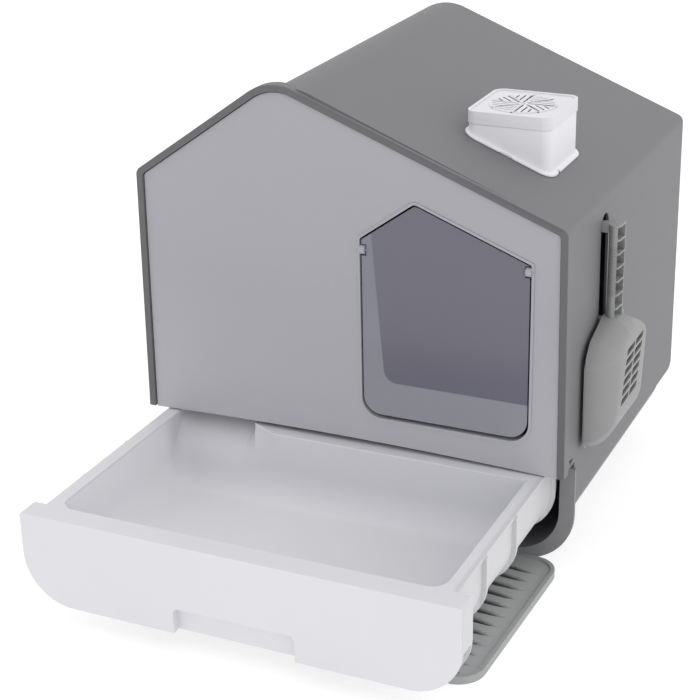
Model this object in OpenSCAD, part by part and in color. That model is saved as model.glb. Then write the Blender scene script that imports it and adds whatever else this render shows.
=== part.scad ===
// Drawer litter box: a house-shaped hood with a swinging see-through door stands on a trough, and a
// litter drawer slides out of the front over a ridged pedal.
// X runs to the right, Y to the back and Z up. The origin is on the floor, under the hood's centre.

/* [Hood] */
// Width across the front rim at the eaves
hood_w = 440; // [430:5:480]
// Depth from the front rim's face to the back wall
hood_d = 400; // [380:5:430]
// Height at which the rim's two roof slopes meet
ridge_h = 470.1; // [450:0.1:500]
// Place of the rim's ridge, to the left of the middle
ridge_x = -72; // [-110:1:-40]
// Height of the rim's left eave
left_eave_h = 365.7; // [355:0.1:380]
// Height of the rim's right eave
right_eave_h = 357; // [350:0.5:370]
// Radius of the rounded ridge
ridge_r = 50; // [20:1:60]
// Radius of the rounded eaves
eave_r = 9; // [4:0.5:12]
// Height of the rim's lower end
rim_bottom = 113; // [112.6:0.2:116]
// Width of the rim seen from the front
rim_w = 6.6; // [5:0.2:8]
// Depth of the rim along the walls
rim_d = 13; // [9:1:16]
// Height of the lower edge of the walls behind the base's collar
skirt_bottom = 67; // [50:1:80]
// Thickness of the moulded walls
wall = 2.5; // [2:0.1:3]

/* [Front panel and door] */
// Depth of the panel's face behind the rim's face
panel_set_back = 2.3; // [2.1:0.1:3]
// Thickness of the panel
panel_t = 2.5; // [2:0.1:3]
// Height of the panel's lower edge at its ends
panel_bottom = 112; // [111.5:0.1:113]
// Rise of that edge in the middle
panel_arch_h = 4.5; // [2:0.5:8]
// Left side of the doorway
door_left = 17; // [5:1:30]
// Width of the doorway
door_w = 169.5; // [155:0.5:175]
// Height of the doorway's sill
door_sill = 143; // [135:1:160]
// Drop of the doorway's right shoulder below the right eave
door_shoulder_drop = 36; // [24:1:48]
// Rise of the doorway's peak above that shoulder
door_peak_rise = 44; // [34:1:50]
// Place of that peak, to the right of the left side
door_peak_in = 55.5; // [45:0.5:65]
// Radius of the doorway's lower corners
door_r = 20; // [12:1:28]
// Thickness of the flap
flap_t = 2.5; // [2:0.1:3]

/* [Base] */
// Width across the collar
collar_w = 445; // [443:1:450]
// Height of the collar and of the trough's upper rim
collar_h = 106.5; // [100:0.5:107]
// Radius of the collar's outer lower corners
collar_r = 56; // [50:1:62]
// Width of the collar's band at its sides
collar_band = 15; // [13:0.5:15]
// Thickness of the collar, front to back
collar_t = 4; // [3:0.5:6]
// Distance of the collar's face behind the rim's face
collar_set_back = 37; // [32:1:45]
// Height of the trough's floor inside
trough_floor = 10; // [9.5:0.5:12]
// Radius of the trough's inner lower corners
trough_r = 47.5; // [40:0.5:50]

/* [Drawer] */
// Distance that the drawer stands out in front of the rim in the stored pose
drawer_out = 245; // [240:1:250]
// Width of the drawer's front
front_w = 434; // [420:1:440]
// Thickness of the drawer's front
front_t = 23.5; // [20:0.5:26]
// Height of the drawer's upper edge
drawer_top = 111; // [108:0.5:111]
// Height of the lower edge of the drawer's front
front_bottom = 20.5; // [16:0.5:26]
// Radius of the lower corners of the drawer's front
front_r = 50; // [35:1:60]
// Length of the tray behind the front
tray_l = 271.5; // [262:0.5:285]
// Width of the basin at its top
basin_w = 380; // [360:1:384]
// Height of the basin's floor inside
basin_floor = 43; // [38:1:50]
// Radius between the basin's floor and walls
basin_r = 28; // [15:1:32]
// Width across the tray's rim
tray_w = 406; // [402:1:410]

/* [Pedal] */
// Length of the pedal, front to back
pedal_l = 226; // [215:1:240]
// Half of the pedal's width at its back
pedal_back_half = 214; // [200:1:218]
// Half of the pedal's width at its front
pedal_front_half = 209; // [190:1:214]
// Height of the pedal's raised edge
pedal_edge_h = 8; // [6:0.5:9]
// Distance from one ridge to the next
tread_pitch = 19; // [16:0.5:24]

/* [Filter box] */
// Left side of the filter box
filter_left = 89; // [75:1:100]
// Width of the filter box
filter_w = 83; // [78:1:90]
// Depth of the filter box
filter_d = 86; // [80:1:95]
// Distance of the filter box's front behind the rim's face
filter_set_back = 89; // [70:1:110]
// Height of the filter box's lid above the roof at its left side
filter_rise = 23.3; // [21:0.1:32]
// Height of the lid's band
filter_cap_h = 12; // [10:0.5:14]

/* [Scoop] */
// Distance of the handle's middle behind the rim's face
scoop_set_back = 113; // [100:1:150]
// Width of the scoop's head against the wall
scoop_w = 126; // [110:1:130]
// Height of the scoop's lowest point
scoop_bottom = 120; // [118:1:130]
// Height of the head's shoulders
scoop_shoulder = 222; // [215:1:228]
// Depth of the head, out from the wall
scoop_depth = 27.5; // [22:0.5:32]
// Height of the handle's top
handle_top = 331; // [315:1:333]
// Width of the handle
handle_w = 20; // [16:0.5:20]

/* [Hidden] */
arc_fn = 64;
wide_fn = 256;
small_fn = 32;
cut = 1;
seat_gap = 0.3;
panel_gap = 1;

// The hood's faces and the wall behind its rim. That wall's ridge lies to the right of the rim's own.
hood_half = hood_w / 2;
front_y = -hood_d / 2;
back_y = hood_d / 2;
rim_flare = 2.8;
body_inset = 1.3;
body_flare = 1.8;
body_ridge_shift = 14;
body_ridge_drop = 2.7;
body_left_drop = 12.7;
skirt_r = 13;
back_r = 8;
body_half = hood_half - body_inset;
body_ridge = [ridge_x + body_ridge_shift, ridge_h - body_ridge_drop];
body_slope = atan((body_ridge[1] - right_eave_h) / (body_half - body_ridge[0]));
ledge_w = 15;
rim_outline = [[-hood_half - rim_flare, rim_bottom], [hood_half + rim_flare, rim_bottom],
    [hood_half, right_eave_h], [ridge_x, ridge_h], [-hood_half, left_eave_h]];
body_outline = [[-body_half - body_flare, skirt_bottom], [body_half + body_flare, skirt_bottom],
    [body_half, right_eave_h], body_ridge, [-body_half, left_eave_h - body_left_drop]];

// The ribs inside the hood that stand on the base's rim
seat_rib_t = 2;
seat_rib_h = 24;
seat_rib_reach = 9;
seat_rib_shares = [-0.25, 0, 0.25];

// The slot in the right wall for the scoop, and the latch windows
slot_w = 24;
slot_bottom = 222;
slot_top = 338;
slot_back_of_handle = 4;
latch_in = 24;
latch_l = 13;
latch_h = 6.5;
latch_rise = 2;
latch_back_share = 0.6;
latch_tip_share = 0.25;

// The base's collar, trough, rim and feet
collar_half = collar_w / 2;
collar_y = front_y + collar_set_back;
collar_back = collar_y + collar_t;
opening_half = collar_half - collar_band;
base_rim_w = 5;
base_back_gap = 1;
trough_back = back_y - wall - base_back_gap - base_rim_w;
foot_r = 20;
foot_in = 60;
foot_edge = 42;
tongue_t = 3;
tongue_l = 17;
tongue_drop = 8;
tongue_clearance = 1;
tongue_inset = 0.6;

// The panel and its doorway
panel_y = front_y + panel_set_back;
panel_back = panel_y + panel_t;
panel_outline = [[-hood_half - rim_flare, panel_bottom], [hood_half + rim_flare, panel_bottom],
    [hood_half, right_eave_h], [ridge_x, ridge_h], [-hood_half, left_eave_h]];
door_right = door_left + door_w;
door_left_rise = 4;
door_shoulder_h = right_eave_h - door_shoulder_drop;
door_outline = [[door_left, door_sill], [door_right, door_sill], [door_right, door_shoulder_h],
    [door_left + door_peak_in, door_shoulder_h + door_peak_rise],
    [door_left, door_shoulder_h + door_left_rise]];
door_shoulder_r = 3;
door_peak_r = 6;
door_lip_w = 2.4;
door_lip_h = 0.9;

// The flap, its stub pins and the sockets that hold them
flap_gap = 1.8;
flap_sill_gap = 4;
flap_y = panel_y + panel_t / 2;
hinge_drop = 7;
hinge_h = door_shoulder_h - hinge_drop;
pin_r = 2;
pin_play = 0.05;
ear_r = 4.4;
ear_l = 5.5;
ear_mouth_w = 3.4;
ear_gap = 1.2;

// The drawer's front, tray, ribs and runners
drawer_y = front_y - drawer_out;
front_half = front_w / 2;
front_back = drawer_y + front_t;
tray_back = front_back + tray_l;
tray_half = tray_w / 2;
basin_half = basin_w / 2;
basin_draft = 6;
basin_corner_r = 16;
front_edge_r = 2;
tray_t = 2.5;
ledge_d = 58.5;
ledge_left = 268;
ledge_step = [26, 14.5];
back_rim_w = 17;
rib_t = 4;
rib_out = 4.2;
rib_play = 2.3;
rib_shares = [0.245, 0.529, 0.926];
front_side_bottom = 66;
runner_t = 3;
runner_x = 130;
runner_set_back = 22;
notch_half = 60.5;
notch_h = 26.5;
notch_r = 7;
notch_d = 9;
notch_slope_h = 9;

// The pedal
pedal_gap = 6;
pedal_t = 2.5;
pedal_edge_w = 4;
pedal_r = 26;
pedal_back_r = 24;
pedal_y = collar_y - pedal_gap;
tread_w = 9;
tread_end_w = 8.9;
tread_taper = 0.1;
tread_half = 158;
tread_steps = 3;
tread_step = 12;
tread_turn = 16;
tread_overlap = 1;
tread_top = 5.8;
tread_margin = 15;
hook_x = 100;
hook_w = 20;
hook_t = 2.4;
hook_z = 2.2;
hook_l = 9;
hook_play = 0.4;

// The filter box on the right slope
filter_y = front_y + filter_set_back;
filter_top = roof_z(filter_left) + filter_rise;
filter_r = 10;
filter_wall = 2;
filter_flange_w = 3.5;
filter_flange_t = 2.5;
flange_notch_d = 1.5;
flange_notch_l = 12;
flange_notch_in = 35;
flange_slot_d = 2.5;
flange_slot_l = 4;
flange_slot_in = 18;
filter_cap_over = 1;
filter_cap_wall = 2;
filter_cap_rim_h = 1.2;
filter_spigot_l = 12;
filter_spigot_play = 0.3;
filter_pad_t = 8;
vent_in = 12;
grille_r = 31;
grille_hub = 3;
grille_slots = 4;
grille_arms = 6;
grille_pitch_share = 0.17;
grille_slot_share = 0.1;

// The scoop that hangs in the slot
scoop_stand_off = 6.3;
scoop_x = wall_x(handle_top) + scoop_stand_off;
scoop_y = front_y + scoop_set_back;
scoop_wall = 2.2;
scoop_side_draft = 15;
scoop_slant_h = 40;
scoop_neck_h = 13;
scoop_neck_half = 18;
scoop_r = 12;
scoop_edge_r = 9;
handle_d = 12.5;
handle_wall = 2;
handle_r = 4.2;
handle_cells = 7;
tab_h = 9;
tab_w = 9;
tab_reach = 7;
foot_h = 12;
lens_l = 27;
lens_h = 6.4;
lens_gap = 5;
lens_rows = 6;
lens_columns = 2;
lens_row_gap = 3.7;
lens_first_drop = 9;

// Outer half width of the hood's walls at a height, and the height of its right slope at an X
function wall_x(z) = body_half + body_flare * (right_eave_h - z) / (right_eave_h - skirt_bottom);
function roof_z(x) = body_ridge[1] - (x - body_ridge[0]) * tan(body_slope);
function unit(v) = v / norm(v);
function cross_z(a, b) = a[0] * b[1] - a[1] * b[0];

// An outline with each of its edges moved inwards by its own distance
function inset(points, distances) =
    let (n = len(points))
    [for (i = [0:n - 1])
        let (u = unit(points[i] - points[(i + n - 1) % n]),
             w = unit(points[(i + 1) % n] - points[i]),
             c = cross_z(u, w))
        points[i] + (distances[(i + n - 1) % n] * w - distances[i] * u) / c];

function all_edges(distance) = [for (i = [0:4]) distance];

// An outline with outward corners, each rounded to its own radius
module rounded(points, radii) {
    n = len(points);
    corners = [for (i = [0:n - 1])
        let (p = points[i],
             u = unit(points[(i + n - 1) % n] - p),
             w = unit(points[(i + 1) % n] - p),
             half = acos(u * w) / 2,
             t = radii[i] / tan(half))
        [p + u * t, p + w * t, p + unit(u + w) * radii[i] / sin(half)]];
    polygon([for (i = [0:n - 1]) each radii[i] > 0 ? [corners[i][0], corners[i][1]] : [points[i]]]);
    for (i = [0:n - 1])
        if (radii[i] > 0)
            intersection() {
                polygon([corners[i][0], points[i], corners[i][1], corners[i][2]]);
                translate(corners[i][2])
                    circle(r = radii[i], $fn = arc_fn);
            }
}

// An XZ outline run from one Y to another
module along_y(y0, y1) {
    translate([0, y1, 0])
        rotate([90, 0, 0])
            linear_extrude(y1 - y0)
                children();
}

// A YZ outline run from one X to another
module along_x(x0, x1) {
    translate([x0, 0, 0])
        rotate([90, 0, 90])
            linear_extrude(x1 - x0)
                children();
}

// A rectangle with rounded corners, from one corner to the other
module pad(low, high, r) {
    rounded([low, [high[0], low[1]], high, [low[0], high[1]]], [r, r, r, r]);
}

// The U of the base: open above, with round lower corners
module u_outline(half, bottom, top, r) {
    rounded([[-half, bottom], [half, bottom], [half, top], [-half, top]], [r, r, 0, 0]);
}

module both_sides() {
    children();
    mirror([1, 0, 0])
        children();
}

// Collar
module collar() {
    along_y(collar_y, collar_back)
        difference() {
            u_outline(collar_half, 0, collar_h, collar_r);
            u_outline(opening_half, trough_floor, collar_h + cut, trough_r);
            both_sides()
                translate([hook_x - hook_w / 2 - hook_play, hook_z - hook_play])
                    square([hook_w + 2 * hook_play, hook_t + 2 * hook_play]);
        }
}

module trough_side_view(extra) {
    rounded([[collar_back - cut, trough_floor - extra], [trough_back - wall + extra, trough_floor - extra],
        [trough_back - wall + extra, collar_h + cut], [collar_back - cut, collar_h + cut]],
        [0, trough_r + extra, 0, 0]);
}

module trough_body(extra, y0, top) {
    intersection() {
        along_y(y0, trough_back + cut)
            u_outline(opening_half + extra, trough_floor - extra, top, trough_r + extra);
        along_x(-collar_half, collar_half)
            trough_side_view(extra);
    }
}

module trough() {
    difference() {
        trough_body(wall, collar_back - cut / 2, collar_h);
        trough_body(0, collar_back - cut, collar_h + cut);
    }
}

// The rim turned outwards along the trough's sides and back, on which the hood stands
module trough_rim() {
    translate([0, 0, collar_h - wall])
        linear_extrude(wall)
            difference() {
                pad([-opening_half - wall - base_rim_w, collar_back - cut / 2],
                    [opening_half + wall + base_rim_w, trough_back + base_rim_w], back_r);
                translate([-opening_half - wall / 2, collar_y])
                    square([2 * opening_half + wall, trough_back - wall / 2 - collar_y]);
            }
}

module feet() {
    for (place = [[0, 0], [-1, -1], [1, -1], [-1, 1], [1, 1]])
        translate([place[0] * (opening_half - foot_in),
            place[1] > 0 ? trough_back - foot_edge : place[1] < 0 ? collar_back + foot_edge : 0, 0])
            cylinder(r = foot_r, h = trough_floor - wall / 2, $fn = arc_fn);
}

// The springy tongue beside each latch window: it rises from the collar and reaches forward above the drawer
module latch_tongue() {
    top = rim_bottom + latch_rise + latch_h;
    x1 = wall_x(top) - wall - seat_gap;
    arm_z = drawer_top + tongue_clearance;
    translate([x1 - tongue_t, collar_y + tongue_inset, collar_h - tongue_drop])
        cube([tongue_t, collar_t - 2 * tongue_inset, tongue_drop + top - collar_h]);
    translate([x1 - tongue_t, collar_back - tongue_l, arm_z])
        cube([tongue_t, tongue_l - tongue_inset, top - arm_z]);
}

module base_shell() {
    color("#828285") {
        collar();
        trough();
        trough_rim();
        feet();
        both_sides()
            latch_tongue();
    }
}

// The ring of the front rim, with the ledge behind it that the panel rests on
module rim() {
    radii = [0, 0, eave_r, ridge_r, eave_r];
    inner_radii = [0, 0, eave_r / 2, ridge_r - rim_w, eave_r / 2];
    ledge_y = panel_back + seat_gap;
    along_y(front_y, front_y + rim_d)
        difference() {
            rounded(rim_outline, radii);
            rounded(inset(rim_outline, [-cut, rim_w, rim_w, rim_w, rim_w]), inner_radii);
        }
    along_y(ledge_y, ledge_y + wall)
        difference() {
            rounded(rim_outline, radii);
            rounded(inset(rim_outline, [-cut, ledge_w, ledge_w, ledge_w, ledge_w]),
                [0, 0, 0, ridge_r - ledge_w, 0]);
        }
}

// The hood's walls seen from the side: cut back over the collar, rounded at the lower back corner
module side_view() {
    rounded([[collar_back + seat_gap, skirt_bottom], [back_y, skirt_bottom], [back_y, ridge_h],
        [collar_back + seat_gap, ridge_h]], [0, skirt_r, 0, 0]);
    translate([panel_back + seat_gap, rim_bottom])
        square([hood_d / 2, ridge_h - rim_bottom]);
}

module walls() {
    y0 = panel_back + seat_gap;
    difference() {
        intersection() {
            along_y(y0, back_y)
                rounded(body_outline, [0, 0, eave_r, ridge_r, eave_r]);
            along_x(-collar_w, collar_w)
                side_view();
            linear_extrude(ridge_h)
                rounded([[-collar_w, front_y], [collar_w, front_y], [body_half + body_flare, back_y],
                    [-body_half - body_flare, back_y]], [0, 0, back_r, back_r]);
        }
        along_y(front_y, back_y - wall)
            rounded(inset(body_outline, [-cut, wall, wall, wall, wall]),
                [0, 0, eave_r - wall, ridge_r - wall, eave_r - wall]);
    }
}

module scoop_slot() {
    y0 = scoop_y + slot_back_of_handle - slot_w / 2;
    along_x(body_half - wall - cut, body_half + body_flare + cut) {
        translate([y0, slot_bottom])
            square([slot_w, slot_top - slot_w / 2 - slot_bottom]);
        translate([y0 + slot_w / 2, slot_top - slot_w / 2])
            circle(d = slot_w, $fn = arc_fn);
    }
}

module latch_windows() {
    z0 = rim_bottom + latch_rise;
    y0 = front_y + latch_in;
    along_x(-hood_w, hood_w)
        polygon([[y0, z0 + latch_h], [y0 + latch_tip_share * latch_l, z0],
            [y0 + latch_l, z0 + latch_back_share * latch_h]]);
}

module vent() {
    translate([filter_left + vent_in, filter_y + vent_in, right_eave_h])
        linear_extrude(ridge_h - right_eave_h)
            pad([0, 0], [filter_w - 2 * vent_in, filter_d - 2 * vent_in], filter_r / 2);
}

// Ribs inside the side walls, which stand on the trough's rim
module seat_ribs() {
    z0 = collar_h + seat_gap;
    z1 = z0 + seat_rib_h;
    for (share = seat_rib_shares)
        both_sides()
            along_y(share * hood_d - seat_rib_t / 2, share * hood_d + seat_rib_t / 2)
                polygon([[wall_x(z0) - wall - seat_rib_reach, z0], [wall_x(z0) - wall / 2, z0],
                    [wall_x(z1) - wall / 2, z1], [wall_x(z1) - wall - seat_gap, z1]]);
}

module hood_shell() {
    color("#8a8a8d")
        difference() {
            union() {
                rim();
                walls();
                seat_ribs();
            }
            scoop_slot();
            latch_windows();
            vent();
        }
}

// The lower edge's shallow arch, as a thin circle segment under the panel
module panel_arch_cut() {
    half = hood_half - rim_w;
    r = (half * half + panel_arch_h * panel_arch_h) / (2 * panel_arch_h);
    translate([0, panel_bottom + panel_arch_h - r])
        circle(r = r, $fn = wide_fn);
}

// Half a socket on each side of the doorway, open to the back so that the pin snaps in
module hinge_ear(x0) {
    translate([x0, flap_y, hinge_h])
        rotate([0, 90, 0])
            difference() {
                cylinder(r = ear_r, h = ear_l, $fn = arc_fn);
                translate([0, 0, -cut])
                    cylinder(r = pin_r + pin_play, h = ear_l + 2 * cut, $fn = arc_fn);
                translate([-ear_mouth_w / 2, 0, -cut])
                    cube([ear_mouth_w, ear_r + cut, ear_l + 2 * cut]);
            }
}

module front_panel() {
    edge = rim_w + panel_gap;
    door_radii = [door_r, door_r, door_shoulder_r, door_peak_r, door_shoulder_r];
    lip_outline = inset(door_outline, all_edges(-door_lip_w));
    color("#a8a8ae") {
        difference() {
            union() {
                along_y(panel_y, panel_back)
                    difference() {
                        rounded(inset(panel_outline, [0, edge, edge, edge, edge]),
                            [0, 0, eave_r / 2, ridge_r - edge, eave_r / 2]);
                        panel_arch_cut();
                    }
                along_y(panel_y - door_lip_h, panel_back)
                    rounded(lip_outline, [door_r + door_lip_w, door_r + door_lip_w, door_shoulder_r,
                        door_peak_r + door_lip_w, door_shoulder_r]);
            }
            along_y(front_y - cut, panel_back + cut)
                rounded(door_outline, door_radii);
        }
        hinge_ear(door_left);
        hinge_ear(door_right - ear_l);
    }
}

module entry_flap() {
    outline = inset(door_outline, [flap_sill_gap, flap_gap, flap_gap, flap_gap, flap_gap]);
    r = door_r - flap_gap;
    notch = ear_l + ear_gap;
    notch_z = hinge_h - ear_r - ear_gap;
    color("#70707c", 0.6) {
        along_y(flap_y - flap_t / 2, flap_y + flap_t / 2)
            difference() {
                rounded(outline, [r, r, door_shoulder_r, door_peak_r, door_shoulder_r]);
                translate([door_left, notch_z])
                    square([notch, 2 * (ear_r + ear_gap)]);
                translate([door_right - notch, notch_z])
                    square([notch, 2 * (ear_r + ear_gap)]);
            }
        for (x0 = [door_left + seat_gap, door_right - notch - flap_gap])
            translate([x0, flap_y, hinge_h])
                rotate([0, 90, 0])
                    cylinder(r = pin_r, h = notch + flap_gap - seat_gap, $fn = small_fn);
    }
}

// The basin's hollow, or its outside with a wall round it: a front view crossed with a side view
module basin(extra, top) {
    intersection() {
        along_y(front_back - extra, tray_back)
            rounded([[-basin_half + basin_draft - extra, basin_floor - extra],
                [basin_half - basin_draft + extra, basin_floor - extra],
                [basin_half + extra, top], [-basin_half - extra, top]],
                [basin_r + extra, basin_r + extra, 0, 0]);
        along_x(-tray_half, tray_half)
            rounded([[front_back - extra, basin_floor - extra],
                [tray_back - back_rim_w + extra, basin_floor - extra],
                [tray_back - back_rim_w + extra, top], [front_back - extra, top]],
                [basin_r + extra, basin_r + extra, 0, 0]);
        translate([0, 0, basin_floor - extra - cut])
            linear_extrude(top)
                basin_plan(extra);
    }
}

// The basin reaches further back on its left, beside a ledge that runs to the right side
module basin_plan(extra) {
    y1 = tray_back - back_rim_w + extra;
    ledge_y = tray_back - ledge_d + extra;
    x1 = basin_half - ledge_left + extra;
    difference() {
        pad([-basin_half - extra, front_back - extra], [basin_half + extra, y1], basin_corner_r);
        polygon([[x1, ledge_y], [basin_half + extra + cut, ledge_y],
            [basin_half + extra + cut, y1 + cut], [x1 - ledge_step[0], y1 + cut],
            [x1 - ledge_step[0], ledge_y + ledge_step[1]]]);
    }
}

// The tray seen from the front, moved in from its ribs: an open U with round lower corners
module tray_outline(inward, top) {
    u_outline(opening_half - rib_play - inward, basin_floor - tray_t - rib_out + inward, top,
        trough_r - rib_play - inward);
}

module tray_rim() {
    translate([0, 0, drawer_top - tray_t])
        linear_extrude(tray_t)
            pad([-tray_half, front_back - front_edge_r], [tray_half, tray_back], front_edge_r);
}

// The basin hangs in an outer wall with narrow ribs round it, and the space between is open at the back
module tray() {
    difference() {
        union() {
            difference() {
                along_y(front_back - tray_t / 2, tray_back)
                    tray_outline(rib_out, drawer_top - tray_t / 2);
                along_y(front_back, tray_back + cut)
                    tray_outline(rib_out + tray_t, drawer_top - tray_t);
            }
            basin(tray_t, drawer_top - tray_t / 2);
            tray_rim();
            for (share = rib_shares)
                translate([0, front_back + share * tray_l - rib_t / 2, 0])
                    along_y(0, rib_t)
                        difference() {
                            tray_outline(0, drawer_top - tray_t / 2);
                            tray_outline(rib_out + tray_t / 2, drawer_top);
                        }
            both_sides()
                along_x(runner_x - runner_t / 2, runner_x + runner_t / 2)
                    rounded([[front_back + runner_set_back, trough_floor + seat_gap],
                        [tray_back, trough_floor + seat_gap], [tray_back, basin_floor - tray_t / 2],
                        [front_back + runner_set_back, basin_floor - tray_t / 2]],
                        [(basin_floor - trough_floor) / 2, 0, 0, 0]);
        }
        basin(0, drawer_top + cut);
    }
}

module front_outline(inward) {
    rounded([[-front_half + inward, front_bottom + inward], [front_half - inward, front_bottom + inward],
        [front_half - inward, drawer_top - inward], [-front_half + inward, drawer_top - inward]],
        [front_r - inward, front_r - inward, front_edge_r, front_edge_r]);
}

// The finger notch: a pocket in the lower edge, with a back that slopes down and inwards
module notch_outline(inward) {
    rounded([[-notch_half - inward, front_bottom - cut], [notch_half + inward, front_bottom - cut],
        [notch_half + inward, front_bottom + notch_h + inward],
        [-notch_half - inward, front_bottom + notch_h + inward]], [0, 0, notch_r + inward, notch_r + inward]);
}

module notch_side_view(inward) {
    top = front_bottom + notch_h + inward;
    y1 = drawer_y + notch_d + inward;
    polygon([[drawer_y - cut, front_bottom - 2 * cut], [y1, front_bottom - 2 * cut],
        [y1, top - notch_slope_h], [drawer_y, top + seat_gap], [drawer_y - cut, top + seat_gap]]);
}

module notch(inward) {
    intersection() {
        along_y(drawer_y - cut, front_back + cut)
            notch_outline(inward);
        along_x(-front_half, front_half)
            notch_side_view(inward);
    }
}

// The drawer's front: two plates joined by their upper and side edges, hollow from below
module drawer_front() {
    difference() {
        union() {
            difference() {
                along_y(drawer_y, front_back)
                    front_outline(0);
                along_y(drawer_y + tray_t, front_back - tray_t) {
                    translate([-front_half + tray_t, front_bottom - cut])
                        square([front_w - 2 * tray_t, drawer_top - tray_t - front_bottom + cut]);
                    translate([-front_half - cut, front_bottom - cut])
                        square([front_w + 2 * cut, front_side_bottom - front_bottom + cut]);
                }
            }
            intersection() {
                along_y(drawer_y, front_back)
                    front_outline(0);
                notch(tray_t);
            }
        }
        notch(0);
    }
}

module drawer() {
    color("#e4e4e8") {
        drawer_front();
        tray();
    }
}

// The pedal's outline seen from above
module pedal_outline(inward) {
    y0 = pedal_y - pedal_l;
    rounded([[-pedal_front_half + inward, y0 + inward], [pedal_front_half - inward, y0 + inward],
        [pedal_back_half - inward, pedal_y - inward], [-pedal_back_half + inward, pedal_y - inward]],
        [pedal_r - inward, pedal_r - inward, pedal_back_r - inward, pedal_back_r - inward]);
}

// Half a round bar, sunk into the plate
module tread_section(w) {
    r = (w * w / 4 + tread_top * tread_top) / (2 * tread_top);
    difference() {
        translate([0, tread_top - r])
            circle(r = r, $fn = small_fn);
        translate([-tread_w, -2 * r])
            square([2 * tread_w, 2 * r + pedal_t / 2]);
    }
}

// A ridge across the pedal, both of whose ends bend to the front in short straight steps
module tread(y) {
    along_x(-tread_half, tread_half)
        translate([y, 0])
            tread_section(tread_w);
    both_sides()
        translate([tread_half, y, 0])
            tread_end(tread_steps);
}

module tread_end(steps) {
    if (steps > 0)
        rotate([0, 0, -tread_turn]) {
            along_x(-tread_overlap, tread_step)
                tread_section(tread_end_w - steps * tread_taper);
            translate([tread_step, 0, 0])
                tread_end(steps - 1);
        }
}

module pedal() {
    first = pedal_y - tread_margin;
    count = floor((pedal_l - 2 * tread_margin - tread_step) / tread_pitch);
    color("#a0a0a2") {
        linear_extrude(pedal_t)
            pedal_outline(0);
        linear_extrude(pedal_edge_h)
            difference() {
                pedal_outline(0);
                pedal_outline(pedal_edge_w);
            }
        for (i = [0:count])
            tread(first - i * tread_pitch);
        both_sides()
            translate([hook_x - hook_w / 2, pedal_y - pedal_edge_w / 2, hook_z])
                cube([hook_w, pedal_edge_w / 2 + pedal_gap + hook_l, hook_t]);
    }
}

// A block over the slope between two X and two Y, from the roof up to a height
module over_roof(x0, x1, top) {
    polygon([[x0, roof_z(x0) + seat_gap], [x1, roof_z(x1) + seat_gap], [x1, top], [x0, top]]);
}

module filter_plan(inward) {
    translate([filter_left, filter_y])
        pad([inward, inward], [filter_w - inward, filter_d - inward], filter_r - inward);
}

module filter_housing() {
    top = filter_top - filter_cap_h - seat_gap;
    x1 = filter_left + filter_w;
    f0 = filter_left - filter_flange_w;
    f1 = x1 + filter_flange_w;
    color("#dedee2") {
        difference() {
            intersection() {
                along_y(filter_y, filter_y + filter_d)
                    over_roof(filter_left, x1, top);
                linear_extrude(top)
                    filter_plan(0);
            }
            linear_extrude(top + cut)
                filter_plan(filter_wall);
        }
        difference() {
            intersection() {
                along_y(filter_y - filter_flange_w, filter_y + filter_d + filter_flange_w)
                    polygon([[f0, roof_z(f0) + seat_gap], [f1, roof_z(f1) + seat_gap],
                        [f1, roof_z(f1) + seat_gap + filter_flange_t],
                        [f0, roof_z(f0) + seat_gap + filter_flange_t]]);
                linear_extrude(ridge_h)
                    filter_plan(-filter_flange_w);
            }
            linear_extrude(ridge_h)
                filter_plan(filter_wall);
            linear_extrude(ridge_h) {
                translate([filter_left + flange_notch_in, filter_y - filter_flange_w - cut])
                    square([flange_notch_l, flange_notch_d + cut]);
                translate([f1 - flange_slot_d, filter_y + flange_slot_in])
                    square([flange_slot_d + cut, flange_slot_l]);
            }
        }
    }
}

// One arm of the pinwheel: slots side by side, from the arm's slanted side out to the circle
module grille_arm() {
    for (i = [0:grille_slots - 1])
        let (y0 = grille_hub + i * grille_pitch_share * grille_r,
             y1 = y0 + grille_slot_share * grille_r,
             x0 = y0 / tan(360 / grille_arms) + grille_hub,
             x1 = y1 / tan(360 / grille_arms) + grille_hub)
            polygon([[x0, y0], [sqrt(grille_r * grille_r - y0 * y0), y0],
                [sqrt(grille_r * grille_r - y1 * y1), y1], [x1, y1]]);
}

module grille() {
    translate([filter_left + filter_w / 2, filter_y + filter_d / 2])
        for (i = [0:grille_arms - 1])
            rotate(i * 360 / grille_arms)
                grille_arm();
}

module filter_cap() {
    z0 = filter_top - filter_cap_h;
    recess = filter_top - filter_cap_rim_h;
    inner = filter_wall + filter_spigot_play;
    color("#e6e6ea")
        difference() {
            union() {
                translate([0, 0, z0])
                    linear_extrude(filter_cap_h)
                        filter_plan(-filter_cap_over);
                translate([0, 0, z0 - filter_spigot_l])
                    linear_extrude(filter_spigot_l + filter_cap_wall)
                        filter_plan(inner);
            }
            translate([0, 0, recess])
                linear_extrude(filter_cap_h)
                    filter_plan(filter_cap_wall);
            translate([0, 0, z0 - filter_spigot_l - cut])
                linear_extrude(recess - filter_cap_wall - z0 + filter_spigot_l + cut)
                    filter_plan(inner + filter_cap_wall);
            translate([0, 0, z0])
                linear_extrude(filter_cap_h + cut)
                    grille();
        }
}

module carbon_filter() {
    inner = filter_wall + filter_spigot_play + filter_cap_wall + seat_gap;
    top = filter_top - filter_cap_h - seat_gap;
    color("#2c2c2e")
        translate([0, 0, top - filter_pad_t])
            linear_extrude(filter_pad_t)
                filter_plan(inner);
}

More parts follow.
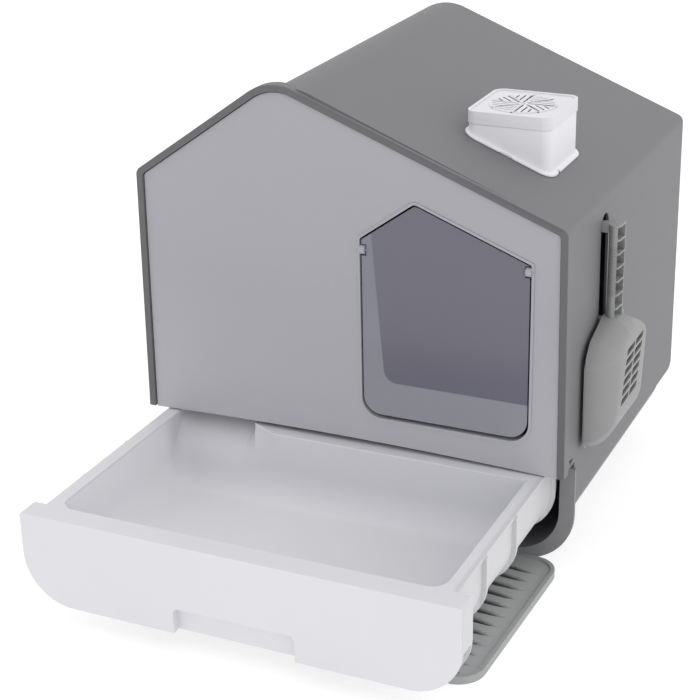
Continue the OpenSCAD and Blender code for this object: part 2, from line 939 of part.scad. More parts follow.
// The scoop's head: a front view crossed with a plan and a side view, so that all its sides lean in
module scoop_head(inward, open) {
    x0 = scoop_x - open;
    x1 = scoop_x + scoop_depth - inward;
    half = scoop_w / 2 - inward;
    top = scoop_shoulder + scoop_neck_h;
    edge_r = scoop_edge_r - inward;
    intersection() {
        along_x(x0, x1)
            translate([scoop_y, 0])
                rounded([[-half, scoop_bottom + inward], [half, scoop_bottom + inward],
                    [half, scoop_shoulder - inward], [scoop_neck_half, top - inward],
                    [-scoop_neck_half, top - inward], [-half, scoop_shoulder - inward]],
                    [scoop_r, scoop_r, scoop_r, 0, 0, scoop_r]);
        linear_extrude(top)
            translate([0, scoop_y])
                rounded([[x0, -half - open * scoop_side_draft / scoop_depth],
                    [x1, -half + scoop_side_draft], [x1, half - scoop_side_draft],
                    [x0, half + open * scoop_side_draft / scoop_depth]], [0, edge_r, edge_r, 0]);
        along_y(scoop_y - scoop_w, scoop_y + scoop_w)
            rounded([[x0, scoop_bottom + inward - open], [scoop_x, scoop_bottom + inward],
                [x1, scoop_bottom + scoop_slant_h], [x1, top - inward], [x0, top - inward]],
                [0, 0, edge_r, edge_r, 0]);
    }
}

// A slot with pointed ends: where two circles cross
module lens(l, h) {
    r = (l * l + h * h) / (4 * h);
    intersection() {
        translate([0, h / 2 - r])
            circle(r = r, $fn = arc_fn);
        translate([0, r - h / 2])
            circle(r = r, $fn = arc_fn);
    }
}

module scoop_slots() {
    half = scoop_w / 2 - scoop_side_draft - 2 * scoop_wall;
    face = scoop_x + scoop_depth - 2 * scoop_wall;
    along_x(face, face + 4 * scoop_wall)
        translate([scoop_y, 0])
            intersection() {
                translate([-half, scoop_bottom])
                    square([2 * half, scoop_shoulder - scoop_bottom]);
                for (row = [0:lens_rows - 1], column = [-lens_columns:lens_columns])
                    translate([(column + (row % 2) / 2) * (lens_l + lens_gap),
                        scoop_shoulder - lens_first_drop - row * (lens_h + lens_row_gap)])
                        lens(lens_l, lens_h);
            }
}

// The handle: a channel open to the outside, stiffened by cross ribs
module handle() {
    z0 = scoop_shoulder + scoop_neck_h - scoop_wall;
    x1 = scoop_x + handle_d;
    cell = (handle_top - z0 - handle_wall) / handle_cells;
    difference() {
        linear_extrude(handle_top)
            rounded([[scoop_x, scoop_y - handle_w / 2], [x1, scoop_y - handle_w / 2],
                [x1, scoop_y + handle_w / 2], [scoop_x, scoop_y + handle_w / 2]],
                [handle_r, handle_r, 0, 0]);
        translate([scoop_x - cut, scoop_y - handle_w, -cut])
            cube([handle_d + 2 * cut, 2 * handle_w, z0 + cut]);
        for (i = [0:handle_cells - 1])
            translate([scoop_x + handle_wall, scoop_y - handle_w / 2 + handle_wall,
                z0 + handle_wall + i * cell])
                cube([handle_d, handle_w - 2 * handle_wall, cell - handle_wall]);
    }
}

// The tab and the foot behind the handle, which go through the slot in the hood's wall
module scoop_tabs() {
    reach = scoop_stand_off + tab_reach;
    for (tab = [[handle_top - tab_h, tab_h], [slot_bottom + seat_gap, foot_h]])
        translate([scoop_x - reach, scoop_y - tab_w / 2, tab[0]])
            cube([reach + handle_wall, tab_w, tab[1]]);
}

module scoop() {
    color("#a3a4a3") {
        difference() {
            scoop_head(0, 0);
            scoop_head(scoop_wall, cut);
            scoop_slots();
        }
        handle();
        scoop_tabs();
    }
}

base_shell();
hood_shell();
front_panel();
entry_flap();
drawer();
pedal();
filter_housing();
filter_cap();
carbon_filter();
scoop();
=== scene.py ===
import math

import bmesh
import bpy
from mathutils import Matrix, Vector


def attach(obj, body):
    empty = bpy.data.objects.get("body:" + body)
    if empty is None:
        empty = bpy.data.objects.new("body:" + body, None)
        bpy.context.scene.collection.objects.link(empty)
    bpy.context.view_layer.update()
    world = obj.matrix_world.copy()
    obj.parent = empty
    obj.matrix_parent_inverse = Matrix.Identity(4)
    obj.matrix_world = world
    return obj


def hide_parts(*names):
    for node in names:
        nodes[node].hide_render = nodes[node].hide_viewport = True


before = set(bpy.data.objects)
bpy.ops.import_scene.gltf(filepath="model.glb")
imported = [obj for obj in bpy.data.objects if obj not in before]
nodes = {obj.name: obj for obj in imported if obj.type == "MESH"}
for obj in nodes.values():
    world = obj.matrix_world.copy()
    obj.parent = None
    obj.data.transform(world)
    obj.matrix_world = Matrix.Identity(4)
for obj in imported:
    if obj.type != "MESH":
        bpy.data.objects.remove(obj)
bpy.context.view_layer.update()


# The hood: one dark grey moulding with an off-centre ridge, a raised rim at the front, two side
# walls and a back wall, and a slot for the scoop at the right. It is injected in polypropylene with
# a fine spark-eroded grain and eased corners, stands on the base's rim, and two tongues hold it.


class Value:
    """A socket's value in a finish: arithmetic on it adds the Math nodes."""

    def __init__(self, finish, socket):
        self.finish, self.socket = finish, socket

    def math(self, operation, *terms):
        return self.finish.add("ShaderNodeMath", {"operation": operation}, *terms)[0]

    def __add__(self, other):
        return self.math("ADD", self, other)

    def __sub__(self, other):
        return self.math("SUBTRACT", self, other)

    def __rsub__(self, other):
        return self.math("SUBTRACT", other, self)

    def __mul__(self, other):
        return self.math("MULTIPLY", self, other)

    def __pow__(self, other):
        return self.math("POWER", self, other)

    def __rpow__(self, other):
        return self.math("POWER", other, self)

    __radd__, __rmul__ = __add__, __mul__

    def wide(self):
        return self.math("ABSOLUTE", self)

    def wave(self):
        return self.math("SINE", self)

    def at_least(self, least):
        return self.math("MAXIMUM", self, least)

    def above(self, edge, soft):
        """0 below the edge and 1 above it, with a soft step between."""
        step = {"interpolation_type": "SMOOTHSTEP"}
        return self.finish.add("ShaderNodeMapRange", step, self, edge - soft, edge + soft)[0]

    def below(self, edge, soft):
        """1 below the edge and 0 above it."""
        return 1 - self.above(edge, soft)


class Finish:
    """A node material around one Principled shader."""

    def __init__(self, name, **constants):
        self.material = bpy.data.materials.new(name)
        self.material.use_nodes = True
        self.tree = self.material.node_tree
        self.shader = next(n for n in self.tree.nodes if n.type == "BSDF_PRINCIPLED")
        for socket, value in constants.items():
            self.shader.inputs[socket.replace("_", " ")].default_value = value
        self.place = self.add("ShaderNodeTexCoord", {})["Object"]
        self.across, self.along, self.height = self.add("ShaderNodeSeparateXYZ", {}, self.place)

    def add(self, kind, settings, *values, **named):
        """A node of that kind with its settings made first and its inputs filled or linked."""
        node = self.tree.nodes.new(kind)
        for key, value in settings.items():
            setattr(node, key, value)
        inputs = [s for s in node.inputs if s.enabled]
        pairs = list(zip(inputs, values))
        for name, value in named.items():
            pairs.append((next(s for s in inputs if s.name == name), value))
        for socket, value in pairs:
            if isinstance(value, Value):
                self.tree.links.new(value.socket, socket)
            else:
                socket.default_value = value
        return Outputs(self, [s for s in node.outputs if s.enabled])

    def noise(self, scale, detail, roughness):
        """A drifting share of 0 to 1, with about that many patches to the metre."""
        return self.add("ShaderNodeTexNoise", {}, self.place,
                        Scale=scale, Detail=detail, Roughness=roughness)["Fac"]

    def blend(self, share, first, second):
        """The first colour where the share is 0 and the second where it is 1."""
        return self.add("ShaderNodeMix", {"data_type": "RGBA"}, Factor=share, A=first, B=second)[0]

    def relief(self, height, depth):
        """The normal of a surface whose relief is that deep, in metres, where the height is 1."""
        return self.add("ShaderNodeBump", {}, Strength=1, Distance=depth, Height=height)[0]

    def feed(self, **inputs):
        """Link values to the shader's sockets, in place of what fed them."""
        for name, value in inputs.items():
            self.tree.links.new(value.socket, self.shader.inputs[name.replace("_", " ")])


class Outputs(list):
    """A node's outputs, by place or by name."""

    def __init__(self, finish, sockets):
        super().__init__(Value(finish, s) for s in sockets)

    def __getitem__(self, key):
        if isinstance(key, str):
            return next(v for v in self if v.socket.name == key)
        return super().__getitem__(key)


def linear(*rgb):
    """A colour of 0 to 255 as the shader wants it."""
    return tuple(((c / 255 + 0.055) / 1.055) ** 2.4 for c in rgb) + (1,)


def moulded(name, shade, rough, grain=1500, depth=0.00004, **constants):
    """Injected plastic: an even shade that drifts a little, a spark-eroded grain and rub marks."""
    plastic = Finish(name, **constants)
    drift = plastic.noise(scale=7, detail=3, roughness=0.6)
    marks = plastic.noise(scale=60, detail=4, roughness=0.7)
    skin = plastic.noise(scale=grain, detail=2, roughness=0.6)
    mottle, rough_drift, rough_marks = 0.04, 0.06, 0.08
    darker = tuple(c * (1 - mottle) for c in shade[:3]) + (1,)
    lighter = tuple(min(1, c * (1 + mottle)) for c in shade[:3]) + (1,)
    plastic.tone = plastic.blend(drift * 0.7 + marks * 0.2 + skin * 0.1, darker, lighter)
    smoothest = rough - (rough_drift + rough_marks) / 2
    plastic.feed(Base_Color=plastic.tone, Normal=plastic.relief(skin, depth),
                 Roughness=drift * rough_drift + marks * rough_marks + smoothest)
    return plastic


def merged(node):
    """A copy of a CAD solid's triangles with their shared corners joined."""
    same_corner = 0.000002
    shell = bmesh.new()
    shell.from_mesh(nodes[node].data)
    bmesh.ops.remove_doubles(shell, verts=shell.verts, dist=same_corner)
    return shell


def shown(shell, name, eased):
    """The piece made of a shell, with its sharp edges rounded and its flat faces shaded flat."""
    for face in shell.faces:
        face.smooth = True
    mesh = bpy.data.meshes.new(name)
    shell.to_mesh(mesh)
    shell.free()
    piece = bpy.data.objects.new(name, mesh)
    bpy.context.scene.collection.objects.link(piece)
    edge = piece.modifiers.new("eased edges", "BEVEL")
    edge.width, edge.segments, edge.use_clamp_overlap = eased, 2, True
    edge.limit_method, edge.angle_limit = "ANGLE", math.radians(30)
    piece.modifiers.new("even shading", "WEIGHTED_NORMAL").weight = 100
    return piece


def dress(piece, finish, body, node):
    """Give a piece its finish and its body, in place of one CAD node."""
    piece.data.materials.append(finish.material)
    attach(piece, body)
    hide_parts(node)


# Painted shade: the rim's front face is given a darker grey than the rest of the hood.
rim_front, rim_painted_shade = -0.1985, linear(104, 104, 107)
hood_grey = moulded("hood grey", linear(121, 121, 124), rough=0.55, Specular_IOR_Level=0.25)
behind_rim = hood_grey.along.above(rim_front, soft=0.0004)
hood_grey.feed(Base_Color=hood_grey.blend(behind_rim, rim_painted_shade, hood_grey.tone))
dress(shown(merged("hood_shell"), "hood", eased=0.0007),
      hood_grey, "hood", "hood_shell")


# The front panel: a light grey flat sheet of the same plastic, pushed into the hood's rim from
# behind. Its doorway has a raised lip with two small forks that hold the flap's pins, and a short
# flange behind it that stiffens the edge.


def joined(part, *others):
    """One shell of several."""
    for other in others:
        loose = bpy.data.meshes.new("loose")
        other.to_mesh(loose)
        other.free()
        part.from_mesh(loose)
        bpy.data.meshes.remove(loose)
    return part


def rounded(corners, plane):
    """A flat face whose corners (u, v, radius) are rounded; plane makes the point of u and v."""
    flat = bmesh.new()
    flat.faces.new([flat.verts.new(plane(u, v)) for u, v, radius in corners])
    for u, v, radius in corners:
        corner = min(flat.verts, key=lambda w: (w.co - Vector(plane(u, v))).length)
        to_first, to_second = (e.other_vert(corner).co - corner.co for e in corner.link_edges)
        setback = radius / math.tan(to_first.angle(to_second) / 2)
        bmesh.ops.bevel(flat, geom=[corner], offset=setback, segments=8, profile=0.5,
                        affect="VERTICES", material=-1)
    return flat


def only(kind, elements):
    """The vertices, the edges or the faces among what an operator gives back."""
    return [e for e in elements if isinstance(e, kind)]


door_corners = [(0.017, 0.143, 0.020), (0.1865, 0.143, 0.020), (0.1865, 0.321, 0.003),
                (0.0725, 0.365, 0.006), (0.017, 0.325, 0.003)]
panel_back, flange_depth, flange_wall = -0.1953, 0.008, 0.0012
flange = rounded(door_corners, lambda x, z: (x, panel_back, z))
mouth = flange.faces[:]
rim = bmesh.ops.extrude_edge_only(flange, edges=flange.edges[:])["geom"]
bmesh.ops.translate(flange, vec=(0, flange_depth, 0), verts=only(bmesh.types.BMVert, rim))
bmesh.ops.delete(flange, geom=mouth, context="FACES_ONLY")
bmesh.ops.recalc_face_normals(flange, faces=flange.faces[:])
bmesh.ops.solidify(flange, geom=flange.faces[:], thickness=-flange_wall)
bmesh.ops.recalc_face_normals(flange, faces=flange.faces[:])

# Painted light: the panel is paler below that height, making up for the shade it gets low down.
painted_light_below = 0.19
panel_grey = moulded("panel grey", linear(165, 165, 171), rough=0.5, Specular_IOR_Level=0.35)
painted_light_low = panel_grey.height.below(painted_light_below, soft=0.09)
panel_grey.feed(Base_Color=panel_grey.blend(painted_light_low, panel_grey.tone, linear(176, 176, 181)))
dress(shown(joined(merged("front_panel"), flange), "front_panel_sheet", eased=0.0005),
      panel_grey, "hood", "front_panel")


# The entry flap: one smoked see-through moulding with a stub pin on each side, which hangs in the
# panel's forks and swings both ways. A paler band of painted light runs down its left side and
# along its foot and is rounded where they meet; it stands for the lit inside seen through the flap.

band_side, band_top, band_lean, band_foot, band_round = 0.0292, 0.3224, 0.0843, 0.1822, 0.012
painted_light_dimmer_above = 0.22
smoke = moulded("smoked plastic", linear(110, 109, 122), rough=0.16, grain=400, depth=0.00001,
                Alpha=0.88)
# Painted light: a paler band down the flap's left side and along its foot, dimmer higher up, stands
# for the lit inside seen through the flap.
past_side = smoke.across - band_side + (smoke.height - band_top) * band_lean
past_foot = smoke.height - band_foot
reach = (band_round - past_side).at_least(0.0) ** 2 + (band_round - past_foot).at_least(0.0) ** 2
painted_interior_light = (reach ** 0.5).above(band_round, soft=0.0006)
painted_interior_colour = smoke.blend(smoke.height.above(painted_light_dimmer_above, soft=0.07),
                         linear(150, 150, 159), linear(132, 133, 145))
smoke.feed(Base_Color=smoke.blend(painted_interior_light, smoke.tone, painted_interior_colour))
dress(shown(merged("entry_flap"), "entry_door", eased=0.0004),
      smoke, "flap", "entry_flap")


# The base: a dark grey trough with a U-shaped collar at the front, open towards the drawer. It is
# one moulding in the same plastic as the hood, whose side walls come down past it.

base_grey = moulded("base grey", linear(136, 136, 139), rough=0.55, Specular_IOR_Level=0.3)
dress(shown(merged("base_shell"), "base", eased=0.0008),
      base_grey, "base", "base_shell")


# The drawer: the white litter tray and its hollow front with the finger notch are one moulding,
# with narrow ribs outside and two runners under it. The basin's rear wall leans back at its left
# into a pocket of the ledge. Painted shade makes that wall and the tray's right side darker, and
# painted light makes the left part of the basin paler.

basin_half, basin_lean, basin_front, basin_back = 0.190, 0.006, -0.4215, -0.167
basin_top, basin_floor, basin_round = 0.111, 0.043, 0.028
ledge, ledge_left, pocket_right, slope_deep, slope_wide = -0.2085, -0.078, -0.104, 0.0145, 0.026
corner_round, squeeze_from, sweep_share = 0.016, -0.26, 0.72
edge_step, wall_rings, fillet_turn = 0.006, 8, 9
slack = 0.0001
centre_y, half_y = (basin_front + ledge) / 2, (ledge - basin_front) / 2
basin_depth = basin_top - basin_floor


def in_basin(face):
    """Whether all of a face lies on the basin's walls, fillets or floor."""
    return face.calc_center_median().z < basin_top - slack and all(
        abs(v.co.x) < basin_half + slack and v.co.z > basin_floor - slack
        and basin_front - slack < v.co.y < basin_back + slack for v in face.verts)


def basin_of(tray):
    """The faces of the basin's inside, found from its floor outwards."""
    middle = Vector((0, centre_y, basin_floor))
    nearest = min(tray.faces,
                  key=lambda f: (f.calc_center_median() - middle).length + 1 - f.normal.z)
    found, edge = {nearest: True}, [nearest]
    while edge:
        beside = dict.fromkeys(g for f in edge for e in f.edges for g in e.link_faces)
        edge = [g for g in beside if g not in found and in_basin(g)]
        found.update(dict.fromkeys(edge, True))
    return list(found)


def low_place(x, y):
    """Where a point of the basin's upper edge comes down to, at the foot of the walls."""
    start, slope_back = -basin_half + corner_round, ledge + slope_deep
    along_back, down_side = pocket_right - start, basin_back - slope_back
    whole = along_back + down_side + math.hypot(slope_deep, slope_wide)
    if y > ledge - slack and start - slack < x < ledge_left + slack:
        if x < pocket_right - slack:
            run = x - start
        elif abs(x - pocket_right) < 2 * slack:
            run = along_back + basin_back - y
        else:
            run = along_back + down_side + math.hypot(x - pocket_right, y - slope_back)
        return start + (ledge_left - start) * run / whole, ledge
    shift = basin_back - ledge
    if x < start and y > basin_back - corner_round - slack:
        return x, y - shift
    if x < start - 10 * slack and y > squeeze_from:
        length = basin_back - corner_round - squeeze_from
        return x, squeeze_from + (y - squeeze_from) * (length - shift) / length
    return x, y


def basin_point(top_point, level, inward):
    """The wall at a level under a point of its upper edge, or the fillet, that far inward."""
    share = (basin_top - level) / basin_depth
    swept = math.sin(math.pi / 2 * min(1, share / sweep_share))
    low_x, low_y = low_place(top_point.x, top_point.y)
    x = top_point.x + (low_x - top_point.x) * swept
    y = top_point.y + (low_y - top_point.y) * swept
    return (x * (1 - (basin_lean * share + inward) / basin_half),
            centre_y + (y - centre_y) * (1 - inward / half_y), level)


def next_ring(part, edges, ring, place):
    """Extrude an open edge once: ring gives each vertex's key and place the new point of a key."""
    made = bmesh.ops.extrude_edge_only(part, edges=edges)["geom"]
    found = {}
    for vert in only(bmesh.types.BMVert, made):
        neighbours = (e.other_vert(vert) for e in vert.link_edges)
        found[vert] = next(ring[v] for v in neighbours if v in ring)
        vert.co = place(found[vert])
    return [e for e in only(bmesh.types.BMEdge, made) if e.is_boundary], found


tray = merged("drawer")
bmesh.ops.delete(tray, geom=basin_of(tray), context="FACES")
for edge in [e for e in tray.edges if e.is_boundary]:
    cuts = int(edge.calc_length() / edge_step)
    if cuts:
        bmesh.ops.subdivide_edges(tray, edges=[edge], cuts=cuts)
edge_loop = [e for e in tray.edges if e.is_boundary]
ring = {v: v.co.copy() for e in edge_loop for v in e.verts}
levels = [(basin_top - (basin_depth - basin_round) * i / wall_rings, 0)
          for i in range(1, wall_rings + 1)]
levels += [(basin_floor + basin_round * (1 - math.sin(math.radians(turn))),
            basin_round * (1 - math.cos(math.radians(turn))))
           for turn in range(fillet_turn, 91, fillet_turn)]
for level, inward in levels:
    edge_loop, ring = next_ring(tray, edge_loop, ring, lambda key: basin_point(key, level, inward))
bmesh.ops.contextual_create(tray, geom=edge_loop)
bmesh.ops.recalc_face_normals(tray, faces=tray.faces[:])

inside_half, inside_front, inside_back, inside_top = 0.1905, -0.4218, -0.1665, 0.1095
lit_left_of, shaded_behind = 0.05, -0.222
wall_right, wall_front, front_right = 0.1985, -0.4205, 0.2163
drawer_white = moulded("drawer white", linear(219, 219, 223), rough=0.45, Specular_IOR_Level=0.3)
under_top = drawer_white.height.below(inside_top, soft=0.0006)
inside = ((drawer_white.across ** 2).below(inside_half ** 2, soft=0.0003)
          * drawer_white.along.below(inside_back, soft=0.0003)
          * drawer_white.along.above(inside_front, soft=0.0003))
# Painted light: the basin's inside is paler towards its left.
painted_light_left = inside * drawer_white.across.below(lit_left_of, soft=0.15) * under_top
tone = drawer_white.blend(painted_light_left, drawer_white.tone, linear(236, 236, 239))
# Painted shade: the tray's right side and the front's right end are a darker white.
painted_shade_tray_side = (drawer_white.across.above(wall_right, soft=0.0015)
             * drawer_white.along.above(wall_front, soft=0.0005))
painted_shade_right = painted_shade_tray_side.at_least(drawer_white.across.above(front_right, soft=0.0005))
tone = drawer_white.blend(painted_shade_right, tone, linear(207, 207, 209))
# Painted shade: the basin's inside is darker towards its rear wall, under the hood.
painted_shade_rear = inside * drawer_white.along.above(shaded_behind, soft=0.014) * under_top
drawer_white.feed(Base_Color=drawer_white.blend(painted_shade_rear, tone, linear(210, 210, 215)))
dress(shown(tray, "litter_drawer", eased=0.0009), drawer_white, "drawer", "drawer")


# The pedal: a light grey plate with a raised edge, moulded in the same plastic, whose long grooves
# bend forward and run out towards its sides. Two hooks hold it to the base's collar.

plate_top, rim_low, groove_land, groove_depth = 0.0025, 0.0065, 0.0032, 0.0047
field_front, field_back, field_left, field_right = -0.390, -0.173, -0.205, 0.206
row_step, column_step = 0.0012, 0.006
first_groove, groove_pitch, groove_width, groove_reach = -0.187, 0.0172, 0.0150, 0.194
last_groove, grooves_end, groove_bend, deep_from = 11, -0.385, 0.011, 0.008


def sliced(part, faces, place, across, snap=0.00001, **clear):
    """Cut some faces by the plane at a place, across a direction, and give what is left of them."""
    pieces = dict.fromkeys(g for f in faces for g in (f, *f.edges, *f.verts))
    cut = bmesh.ops.bisect_plane(part, geom=list(pieces), dist=snap,
                                 plane_co=place, plane_no=across, **clear)
    return only(bmesh.types.BMFace, cut["geom"])


def groove_height(x, y):
    """The plate's upper side at a place: the land between the grooves, less a groove's depth."""
    side = min(1, abs(x) / groove_reach)
    place = (first_groove - groove_bend * side ** 4 - y) / groove_pitch
    away = (place - min(max(round(place), 0), last_groove)) * groove_pitch
    wide = groove_width * (1 - side ** 5) ** 0.7
    if abs(away) >= wide / 2 or y <= grooves_end:
        return plate_top + groove_land
    deep = groove_depth * min(1, wide / deep_from)
    return plate_top + (groove_land - deep * math.cos(math.pi * away / wide) ** 1.3)


pedal = merged("pedal")
bmesh.ops.delete(pedal, context="FACES", geom=[
    f for f in pedal.faces if f.calc_center_median().y < field_back - slack
    and all(plate_top - slack < v.co.z < rim_low for v in f.verts)])
field = bmesh.ops.contextual_create(pedal, geom=[e for e in pedal.edges if e.is_boundary])["faces"]
for axis, low, high, step in ((1, field_front, field_back, row_step),
                              (0, field_left, field_right, column_step)):
    for i in range(int((high - low) / step)):
        place, across = Vector(), Vector()
        place[axis], across[axis] = low + i * step, 1
        field = sliced(pedal, field, place, across)
for vert in {v for f in field for v in f.verts}:
    vert.co.z = groove_height(vert.co.x, vert.co.y)

groove_shade_half, groove_shade_front, groove_shade_under = 0.199, -0.38, 0.0042
painted_light_half, painted_light_front, painted_light_under = 0.202, -0.387, 0.0066
pedal_grey = moulded("pedal grey", linear(160, 161, 161), rough=0.5, Specular_IOR_Level=0.3)
# Painted light: the field inside the raised edge is a paler grey, against the shade the drawer
# casts on it.
middle = (pedal_grey.across.wide().below(painted_light_half, soft=0.008)
          * pedal_grey.along.above(painted_light_front, soft=0.006)
          * pedal_grey.height.below(painted_light_under, soft=0.0006))
# Painted shade: the bottoms of the grooves are a dark grey.
painted_groove_shade = (pedal_grey.height.below(groove_shade_under, soft=0.0014)
             * pedal_grey.along.above(groove_shade_front, soft=0.004)
             * (pedal_grey.across ** 2).below(groove_shade_half ** 2, soft=0.0008))
ridged = pedal_grey.blend(middle, pedal_grey.tone, linear(174, 175, 174))
pedal_grey.feed(Base_Color=pedal_grey.blend(painted_groove_shade, ridged, linear(84, 85, 84)))
dress(shown(pedal, "pedal_plate", eased=0.0006), pedal_grey, "pedal", "pedal")


# The filter box: a white moulded housing whose flange lies on the roof, a lid pressed on it, and a
# pad of carbon felt under the lid. A thin plate with a pinwheel of slots lies in the lid's round
# recess, over a floor painted dark grey as the shade seen through the slots.

filter_white = moulded("filter white", linear(234, 234, 238), rough=0.45, Specular_IOR_Level=0.3)
dress(shown(merged("filter_housing"), "filter_box", eased=0.0008),
      filter_white, "hood", "filter_housing")

grille_x, grille_y, recess_floor = 0.1305, -0.068, 0.43085
grille_radius, grille_thick, sectors, sector_slots = 0.0325, 0.0008, 8, 4
first_slot, slot_pitch, half_slot, slot_reach, slot_start = 0.0015, 0.006, 0.0009, 0.0305, 0.003
no_snap = 0.000001
sector = bmesh.new()
bmesh.ops.create_circle(sector, cap_ends=True, segments=96, radius=grille_radius)
sliced(sector, sector.faces[:], (0, 0, 0), (0, 1, 0), no_snap, clear_inner=True)
sliced(sector, sector.faces[:], (0, 0, 0), (1, -1, 0), no_snap, clear_inner=True)
sliced(sector, sector.faces[:], (slot_start, 0, 0), (1, -1, 0), no_snap)
for i in range(sector_slots):
    middle = first_slot + slot_pitch * i
    for side in (middle - half_slot, middle + half_slot):
        sliced(sector, sector.faces[:], (0, side, 0), (0, 1, 0), no_snap)
    strip = [f for f in sector.faces if abs(f.calc_center_median().y - middle) < half_slot]
    slot_end = math.sqrt(slot_reach ** 2 - (middle + half_slot) ** 2)
    sliced(sector, strip, (slot_end, 0, 0), (1, 0, 0), no_snap)
    bmesh.ops.delete(sector, context="FACES", geom=[
        f for f in sector.faces for x, y, z in [f.calc_center_median()]
        if abs(y - middle) < half_slot and x - y > slot_start and x < slot_end])
bmesh.ops.spin(sector, geom=sector.verts[:] + sector.edges[:] + sector.faces[:], cent=(0, 0, 0),
               axis=(0, 0, 1), dvec=(0, 0, 0), angle=math.radians(360 - 360 / sectors),
               steps=sectors - 1, use_duplicate=True)
bmesh.ops.remove_doubles(sector, verts=sector.verts, dist=0.00001)
bmesh.ops.recalc_face_normals(sector, faces=sector.faces[:])
bmesh.ops.solidify(sector, geom=sector.faces[:], thickness=grille_thick)
bmesh.ops.recalc_face_normals(sector, faces=sector.faces[:])
lowest = min(v.co.z for v in sector.verts)
bmesh.ops.translate(sector, vec=(grille_x, grille_y, recess_floor - lowest), verts=sector.verts)

# Painted shade: the recess floor under the slotted plate is a dark grey.
grille_shade_radius, grille_shade_top = 0.0320, recess_floor + 0.0002
lid_white = moulded("lid white", linear(224, 224, 228), rough=0.45, Specular_IOR_Level=0.3)
from_middle = (lid_white.across - grille_x) ** 2 + (lid_white.along - grille_y) ** 2
painted_grille_shade = (from_middle.below(grille_shade_radius ** 2, soft=0.00001)
               * lid_white.height.below(grille_shade_top, soft=0.0001))
lid_white.feed(Base_Color=lid_white.blend(painted_grille_shade, lid_white.tone, linear(70, 70, 72)))
dress(shown(joined(merged("filter_cap"), sector), "filter_lid", eased=0.0004),
      lid_white, "filter_cap", "filter_cap")

carbon = moulded("carbon felt", linear(44, 44, 46), rough=0.95, grain=600, depth=0.0004)
dress(shown(merged("carbon_filter"), "carbon_pad", eased=0.0006),
      carbon, "filter_cap", "carbon_filter")


# The scoop: a light grey moulding, hung by its tab and foot in the slot of the right wall. Its
# hollow head is domed towards a flat grille, and the handle has a ribbed grip and an open channel.

wall_side, face_side, dome_rings = 0.2238, 0.2515, 9
head_at_wall = [
    (-0.150, 0.208, 0.012), (-0.137, 0.227, 0.018), (-0.097, 0.240, 0.006), (-0.075, 0.239, 0.006),
    (-0.034, 0.219, 0.012), (-0.0225, 0.204, 0.010), (-0.0225, 0.130, 0.006),
    (-0.034, 0.1215, 0.004), (-0.139, 0.1205, 0.005), (-0.149, 0.129, 0.006)]
head_at_face = [
    (-0.106, 0.213, 0.004), (-0.101, 0.2195, 0.005), (-0.092, 0.2195, 0.003),
    (-0.070, 0.2175, 0.003), (-0.043, 0.2125, 0.004), (-0.038, 0.207, 0.004),
    (-0.050, 0.156, 0.003), (-0.056, 0.151, 0.003), (-0.122, 0.154, 0.003), (-0.127, 0.159, 0.003)]
neck, hooks_face, grip_middle, round_from, round_depth = 0.2375, 0.2252, 0.23145, -0.087, 0.0105
grid_top, grid_foot, row_pitch, grid_middle, grid_lean = 0.2125, 0.1567, 0.0093, 0.1845, 0.325
grid_left, grid_centre, grid_right = -0.1115, -0.0828, -0.0545
slat_half, cell_round, slot_depth = 0.0022, 0.0021, 0.012


def outline(corners, x):
    """The points round a rounded outline, from the middle of its first corner."""
    flat = rounded(corners, lambda y, z: (x, y, z))
    points = [v.co.copy() for v in next(iter(flat.faces)).verts]
    flat.free()
    start = Vector((x, *corners[0][:2]))
    first = points.index(min(points, key=lambda point: (point - start).length))
    return points[first:] + points[:first]


def dome_point(key, bend):
    """The dome between a point of its outline at the wall and the same one at the face."""
    low, high = key
    point = low + (high - low) * (1 - math.cos(bend))
    return wall_side + (face_side - wall_side) * math.sin(bend), point.y, point.z


def in_grid(face):
    """Whether a face of the grille is one of its slots' cells."""
    x, y, z = face.calc_center_median()
    slant = (z - grid_middle) * grid_lean
    return grid_foot < z < grid_top and grid_left + slant < y < grid_right + slant


handle, hooks = merged("scoop"), merged("scoop")
for part, cut, keep in ((handle, (0, 0, neck), (0, 0, 1)), (hooks, (0, 0, neck), (0, 0, -1)),
                        (hooks, (hooks_face, 0, 0), (-1, 0, 0))):
    bmesh.ops.bisect_plane(part, geom=part.verts[:] + part.edges[:] + part.faces[:], dist=no_snap,
                           plane_co=cut, plane_no=keep, clear_inner=True)
for vert in handle.verts:
    x, y, z = vert.co
    if y < round_from and x > hooks_face - slack:
        bulge = math.sqrt(1 - ((round_from - y) / round_depth) ** 2)
        vert.co.x = grip_middle + (x - grip_middle) * bulge

head = bmesh.new()
pairs = list(zip(outline(head_at_wall, wall_side), outline(head_at_face, face_side)))
ring = {head.verts.new(low): (low, high) for low, high in pairs}
head.faces.new(list(ring))
edge_loop = head.edges[:]
for step in range(1, dome_rings + 1):
    bend = math.pi / 2 * step / dome_rings
    edge_loop, ring = next_ring(head, edge_loop, ring, lambda key: dome_point(key, bend))
grille = bmesh.ops.contextual_create(head, geom=edge_loop)["faces"]
cuts = [((grid_left, grid_middle), (0.0470, -0.0147)),
        ((grid_centre, grid_middle), (0.0464, -0.0153)),
        ((grid_right, grid_middle), (0.0458, -0.0159))]
cuts += [((0, grid_top - row_pitch * i), (0, 1)) for i in range(7)]
for place, across in cuts:
    grille = sliced(head, grille, (0, *place), (0, *across))
cells = [f for f in grille if in_grid(f)]
bmesh.ops.inset_individual(head, faces=cells, thickness=slat_half)
middles = [cell.calc_center_median() for cell in cells]
bmesh.ops.bevel(head, geom=[v for cell in cells for v in cell.verts], offset=cell_round, segments=2,
                profile=0.5, affect="VERTICES", material=-1)
cells = [min(head.faces, key=lambda f: (f.calc_center_median() - middle).length)
         for middle in middles]
slots = bmesh.ops.extrude_discrete_faces(head, faces=cells)["faces"]
bmesh.ops.translate(head, vec=(-slot_depth, 0, 0), verts=[v for f in slots for v in f.verts])
bmesh.ops.recalc_face_normals(head, faces=head.faces[:])

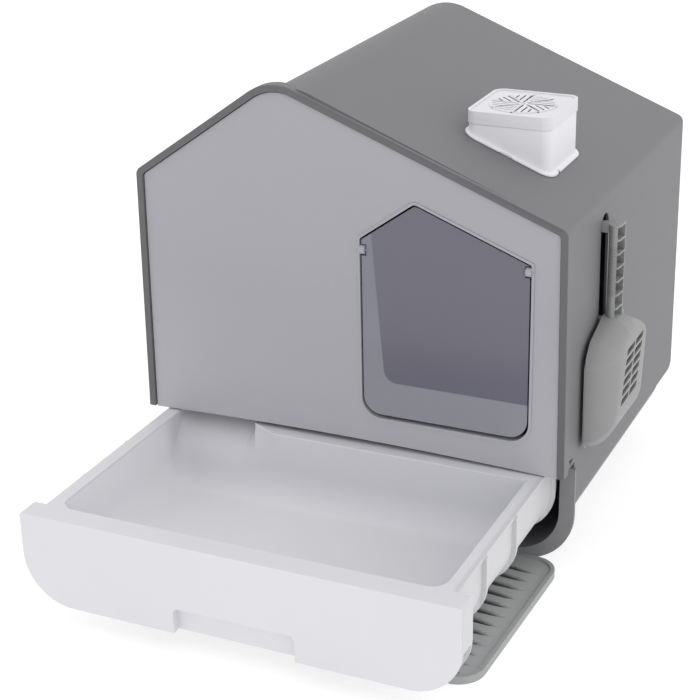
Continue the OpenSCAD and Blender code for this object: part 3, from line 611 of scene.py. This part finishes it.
grip_foot, grip_top, rib_pitch, rib_depth = 0.261, 0.311, 0.0022, 0.0003
slots_y, slots_z, slots_half, slots_high, slot_shade_inside = -0.083, 0.1846, 0.0295, 0.0285, 0.2485
scoop_grey = moulded("scoop grey", linear(144, 145, 144), rough=0.45, Specular_IOR_Level=0.3)
on_grip = (scoop_grey.height.above(grip_foot, soft=0.002)
           * scoop_grey.height.below(grip_top, soft=0.002))
ribs = (scoop_grey.height * (2 * math.pi / rib_pitch)).wave()
slanted = scoop_grey.along - (scoop_grey.height - grid_middle) * grid_lean
# Painted shade: the grille's slots are near black inside.
painted_slot_shade = ((slanted - slots_y).wide().below(slots_half, soft=0.0004)
            * (scoop_grey.height - slots_z).wide().below(slots_high, soft=0.0004)
            * scoop_grey.across.below(slot_shade_inside, soft=0.002))
scoop_grey.feed(Normal=scoop_grey.relief(ribs * on_grip, rib_depth),
                Base_Color=scoop_grey.blend(painted_slot_shade, scoop_grey.tone, linear(22, 22, 23)))
dress(shown(joined(handle, hooks, head), "litter_scoop", eased=0.0008),
      scoop_grey, "scoop", "scoop")


# The studio: a pale floor, even soft light with one wide lamp high at the rear right, and the
# camera where the photograph was taken.

floor_reach = 30
floor_mesh = bpy.data.meshes.new("floor")
ground = bmesh.new()
bmesh.ops.create_grid(ground, x_segments=1, y_segments=1, size=floor_reach)
ground.to_mesh(floor_mesh)
ground.free()
floor = bpy.data.objects.new("floor", floor_mesh)
bpy.context.scene.collection.objects.link(floor)
pale = Finish("pale floor", Roughness=0.9, Emission_Color=(1, 1, 1, 1), Emission_Strength=0.72)
cloud = pale.noise(scale=0.6, detail=2, roughness=0.5)
pale.feed(Base_Color=pale.blend(cloud, linear(166, 166, 166), linear(170, 170, 170)))
floor.data.materials.append(pale.material)

sky = bpy.data.worlds.new("studio")
bpy.context.scene.world = sky
sky.use_nodes = True
sky.node_tree.nodes["Background"].inputs["Color"].default_value = (1, 1, 1, 1)
sky.node_tree.nodes["Background"].inputs["Strength"].default_value = 1.0

towards = Vector((-0.4, -0.4, -0.82))
key_light = bpy.data.lights.new("key light", "SUN")
key_light.energy, key_light.angle = 0.22, math.radians(40)
lamp = bpy.data.objects.new("key light", key_light)
lamp.rotation_euler = towards.to_track_quat("-Z", "Y").to_euler()
bpy.context.scene.collection.objects.link(lamp)

camera_at, focal_pixels, picture_pixels = (0.65469, -1.59142, 0.86931), 1742.08, 700
turn, tilt, roll = math.radians(25), math.radians(23.2156), math.radians(-1.2149)
lens = bpy.data.cameras.new("camera")
lens.sensor_width = 36
lens.lens = focal_pixels * lens.sensor_width / picture_pixels
lens.clip_start, lens.clip_end = 0.05, 100
camera = bpy.data.objects.new("camera", lens)
bpy.context.scene.collection.objects.link(camera)
ahead = -Vector((math.sin(turn) * math.cos(tilt), -math.cos(turn) * math.cos(tilt), math.sin(tilt)))
level = ahead.cross(Vector((0, 0, 1))).normalized()
upward = level.cross(ahead)
right = level * math.cos(roll) + upward * math.sin(roll)
top = upward * math.cos(roll) - level * math.sin(roll)
turned = Matrix((right, top, -ahead)).transposed().to_4x4()
camera.matrix_world = Matrix.Translation(camera_at) @ turned
bpy.context.scene.camera = camera
bpy.context.scene.view_settings.view_transform = "Standard"
